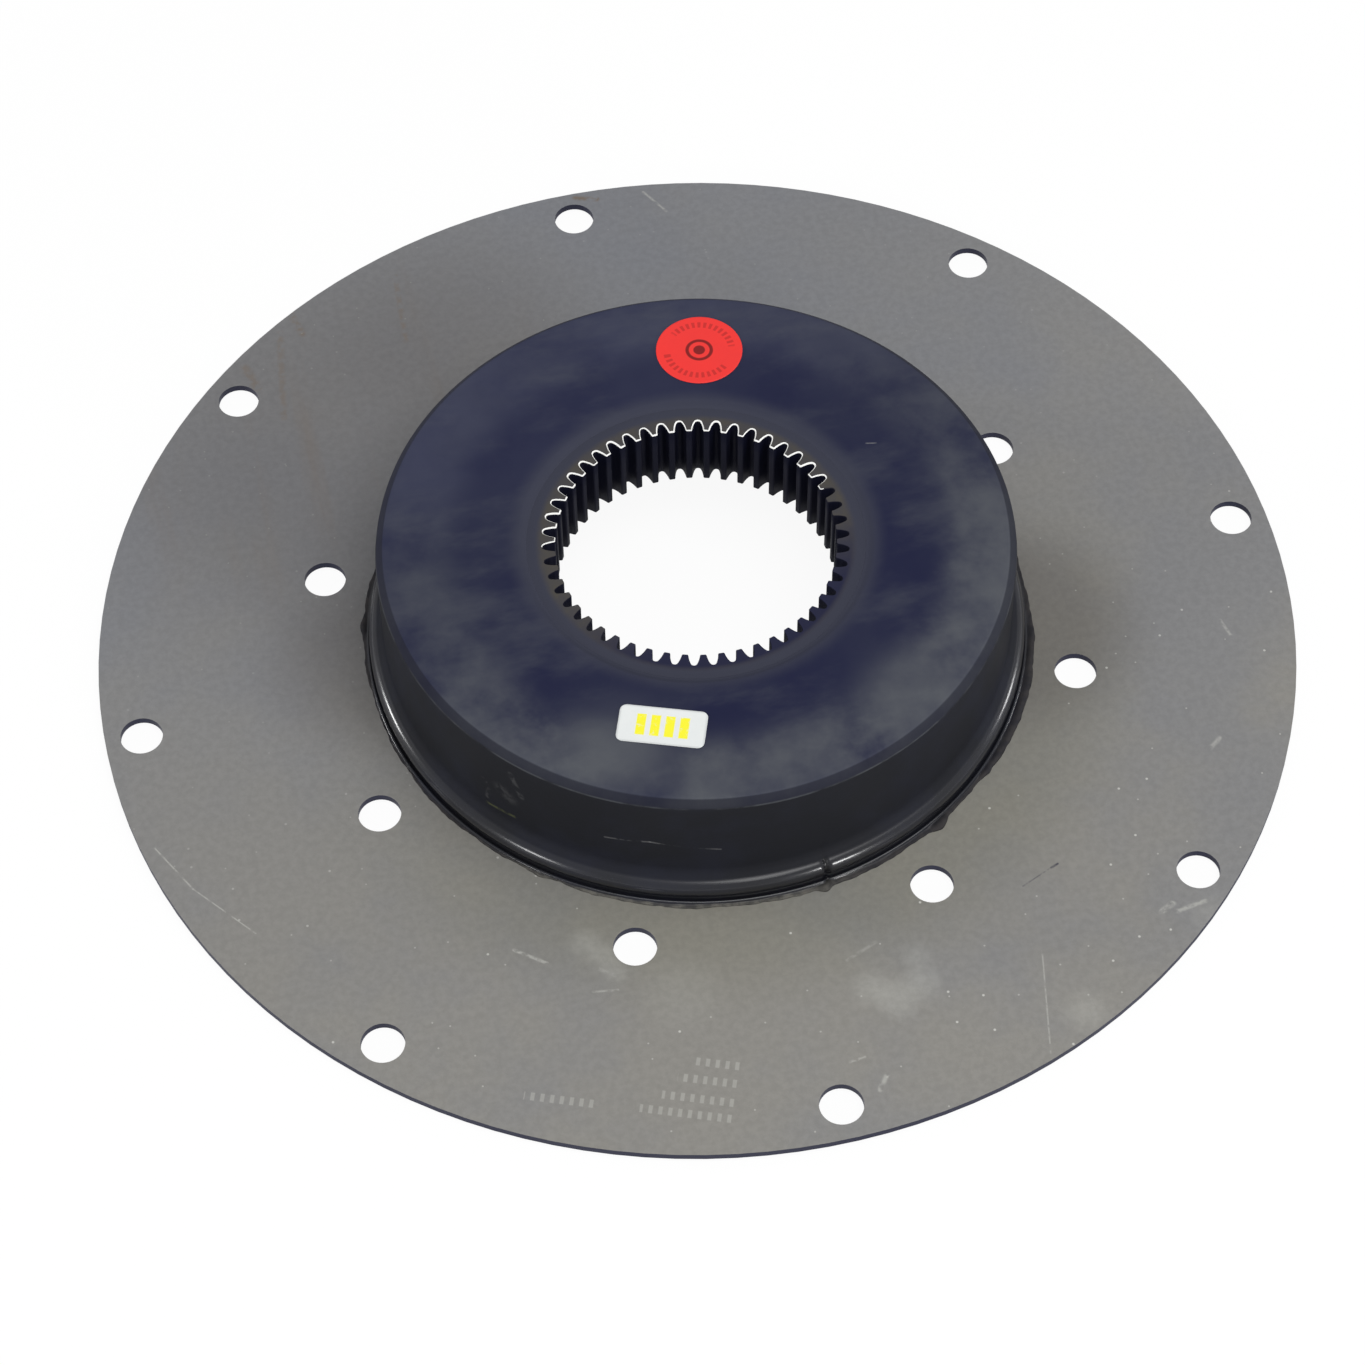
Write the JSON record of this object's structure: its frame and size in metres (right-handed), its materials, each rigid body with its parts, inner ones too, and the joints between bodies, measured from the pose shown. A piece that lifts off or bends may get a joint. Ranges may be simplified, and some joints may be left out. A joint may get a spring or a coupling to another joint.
{
  "type": "flexible disc coupling",
  "caption": "Flexible disc coupling: a steel ring with internal teeth in a moulded rubber body that is bonded to a thin round flange plate with an inner and an outer bolt circle.",
  "frame": {"origin": "centre of the flange plate's rear face, which is the face that meets the flywheel", "axes": "+Z along the coupling's axis, from the plate to the toothed ring and the hub side; +X through one hole of the outer bolt circle"},
  "size_m": [0.3142, 0.3142, 0.0402],
  "materials": {
    "plate_steel": "pickled sheet steel, dull, with light scuffs",
    "black_rubber": "moulded black rubber, dusty on top, glossier at the bead",
    "ring_steel": "dark phosphated steel",
    "red_sticker": "satin sticker film",
    "white_label": "satin sticker film"
  },
  "bodies": {
    "root": {"flange_plate": "plate_steel", "rubber_element": "black_rubber", "toothed_ring": "ring_steel", "round_sticker": "red_sticker", "plain_label": "white_label"}
  },
  "joints": []
}
